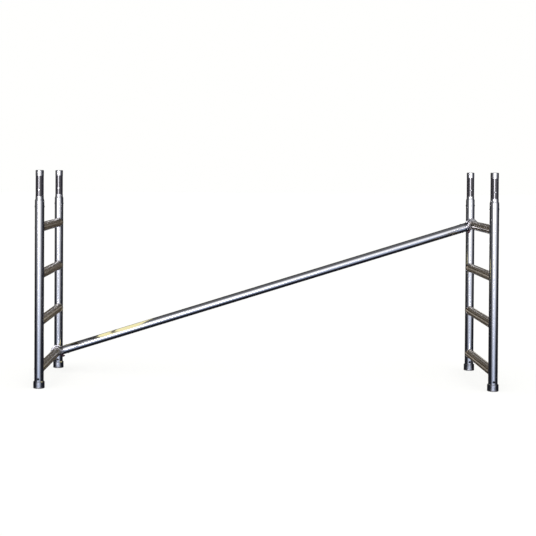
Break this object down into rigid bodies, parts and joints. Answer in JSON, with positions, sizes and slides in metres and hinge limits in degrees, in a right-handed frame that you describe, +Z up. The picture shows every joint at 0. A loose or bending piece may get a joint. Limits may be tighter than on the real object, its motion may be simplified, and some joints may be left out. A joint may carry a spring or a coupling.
{
  "type": "frame scaffold section",
  "caption": "Ladder-frame access tower section: end frames with spigots, sockets and snap buttons, joined by a diagonal brace with latching claws.",
  "frame": {"origin": "on the floor, midway between the two frames and between their uprights", "axes": "+X along the bay to the right frame, +Y to the uprights the brace is beside, +Z up"},
  "size_m": [2.5148, 0.7468, 1.172],
  "materials": {
    "upright_tube": "drawn and polished",
    "rung_tube": "mill finish, ribbed",
    "weld": "rippled weld bead",
    "foot_collar": "machined and polished",
    "spigot_tube": "polished",
    "spigot_sleeve": "gloss black",
    "snap_spring": "blued spring steel",
    "snap_button": "plated",
    "rivet": "satin",
    "brace_tube": "drawn and polished",
    "claw_casting": "tumbled casting, satin",
    "trigger": "dark red enamel",
    "trigger_pin": "zinc plated",
    "trigger_spring": "spring steel"
  },
  "bodies": {
    "left_frame": {"left_upright_near": "upright_tube", "left_foot_collar_near": "foot_collar", "left_spigot_near": "spigot_tube", "left_spigot_sleeve_near": "spigot_sleeve", "left_snap_spring_near": "snap_spring", "left_upright_far": "upright_tube", "left_foot_collar_far": "foot_collar", "left_spigot_far": "spigot_tube", "left_spigot_sleeve_far": "spigot_sleeve", "left_snap_spring_far": "snap_spring", "left_rung_1": "rung_tube", "left_rung_2": "rung_tube", "left_rung_3": "rung_tube", "left_rung_4": "rung_tube", "left_rung_welds": "weld", "left_spigot_rivets": "rivet"},
    "left_snap_button_near_front": {"left_snap_button_near_front": "snap_button"},
    "left_snap_button_near_back": {"left_snap_button_near_back": "snap_button"},
    "left_snap_button_far_front": {"left_snap_button_far_front": "snap_button"},
    "left_snap_button_far_back": {"left_snap_button_far_back": "snap_button"},
    "right_frame": {"right_upright_near": "upright_tube", "right_foot_collar_near": "foot_collar", "right_spigot_near": "spigot_tube", "right_spigot_sleeve_near": "spigot_sleeve", "right_snap_spring_near": "snap_spring", "right_upright_far": "upright_tube", "right_foot_collar_far": "foot_collar", "right_spigot_far": "spigot_tube", "right_spigot_sleeve_far": "spigot_sleeve", "right_snap_spring_far": "snap_spring", "right_rung_1": "rung_tube", "right_rung_2": "rung_tube", "right_rung_3": "rung_tube", "right_rung_4": "rung_tube", "right_rung_welds": "weld", "right_spigot_rivets": "rivet"},
    "right_snap_button_near_front": {"right_snap_button_near_front": "snap_button"},
    "right_snap_button_near_back": {"right_snap_button_near_back": "snap_button"},
    "right_snap_button_far_front": {"right_snap_button_far_front": "snap_button"},
    "right_snap_button_far_back": {"right_snap_button_far_back": "snap_button"},
    "brace": {"brace_tube": "brace_tube", "brace_claw_low": "claw_casting", "brace_claw_high": "claw_casting", "brace_rivets": "rivet", "trigger_pin_low": "trigger_pin", "trigger_pin_high": "trigger_pin", "trigger_spring_low": "trigger_spring", "trigger_spring_high": "trigger_spring"},
    "trigger_low": {"trigger_low": "trigger"},
    "trigger_high": {"trigger_high": "trigger"}
  },
  "joints": [
    {"name": "brace_swing", "type": "hinge", "parent": "left_frame", "child": "brace", "pos_m": [-1.2192, 0.2779, 0.1016], "axis": [0, -1, 0], "range_deg": [0, 60]},
    {"name": "right_frame_swing", "type": "hinge", "parent": "brace", "child": "right_frame", "pos_m": [1.2192, 0.2779, 0.8636], "axis": [0, -1, 0], "range_deg": [-60, 270]},
    {"name": "trigger_low_release", "type": "hinge", "parent": "brace", "child": "trigger_low", "pos_m": [-1.1806, 0.2779, 0.10214], "axis": [0, -1, 0], "range_deg": [0, 36], "stiffness_Nm_per_rad": 0.3, "springref_deg": -34.38, "deforming": ["trigger_spring_low"]},
    {"name": "trigger_high_release", "type": "hinge", "parent": "brace", "child": "trigger_high", "pos_m": [1.18717, 0.2779, 0.84206], "axis": [0, 1, 0], "range_deg": [0, 36], "stiffness_Nm_per_rad": 0.3, "springref_deg": -34.38, "deforming": ["trigger_spring_high"]},
    {"name": "left_snap_button_near_front_press", "type": "slide", "parent": "left_frame", "child": "left_snap_button_near_front", "axis": [0, 1, 0], "range_m": [0, 0.006], "stiffness_N_per_m": 900, "springref_m": -0.012, "deforming": ["left_snap_spring_near"]},
    {"name": "left_snap_button_near_back_press", "type": "slide", "parent": "left_frame", "child": "left_snap_button_near_back", "axis": [0, -1, 0], "range_m": [0, 0.006], "stiffness_N_per_m": 900, "springref_m": -0.012},
    {"name": "left_snap_button_far_front_press", "type": "slide", "parent": "left_frame", "child": "left_snap_button_far_front", "axis": [0, 1, 0], "range_m": [0, 0.006], "stiffness_N_per_m": 900, "springref_m": -0.012, "deforming": ["left_snap_spring_far"]},
    {"name": "left_snap_button_far_back_press", "type": "slide", "parent": "left_frame", "child": "left_snap_button_far_back", "axis": [0, -1, 0], "range_m": [0, 0.006], "stiffness_N_per_m": 900, "springref_m": -0.012},
    {"name": "right_snap_button_near_front_press", "type": "slide", "parent": "right_frame", "child": "right_snap_button_near_front", "axis": [0, 1, 0], "range_m": [0, 0.006], "stiffness_N_per_m": 900, "springref_m": -0.012, "deforming": ["right_snap_spring_near"]},
    {"name": "right_snap_button_near_back_press", "type": "slide", "parent": "right_frame", "child": "right_snap_button_near_back", "axis": [0, -1, 0], "range_m": [0, 0.006], "stiffness_N_per_m": 900, "springref_m": -0.012},
    {"name": "right_snap_button_far_front_press", "type": "slide", "parent": "right_frame", "child": "right_snap_button_far_front", "axis": [0, 1, 0], "range_m": [0, 0.006], "stiffness_N_per_m": 900, "springref_m": -0.012, "deforming": ["right_snap_spring_far"]},
    {"name": "right_snap_button_far_back_press", "type": "slide", "parent": "right_frame", "child": "right_snap_button_far_back", "axis": [0, -1, 0], "range_m": [0, 0.006], "stiffness_N_per_m": 900, "springref_m": -0.012}
  ]
}
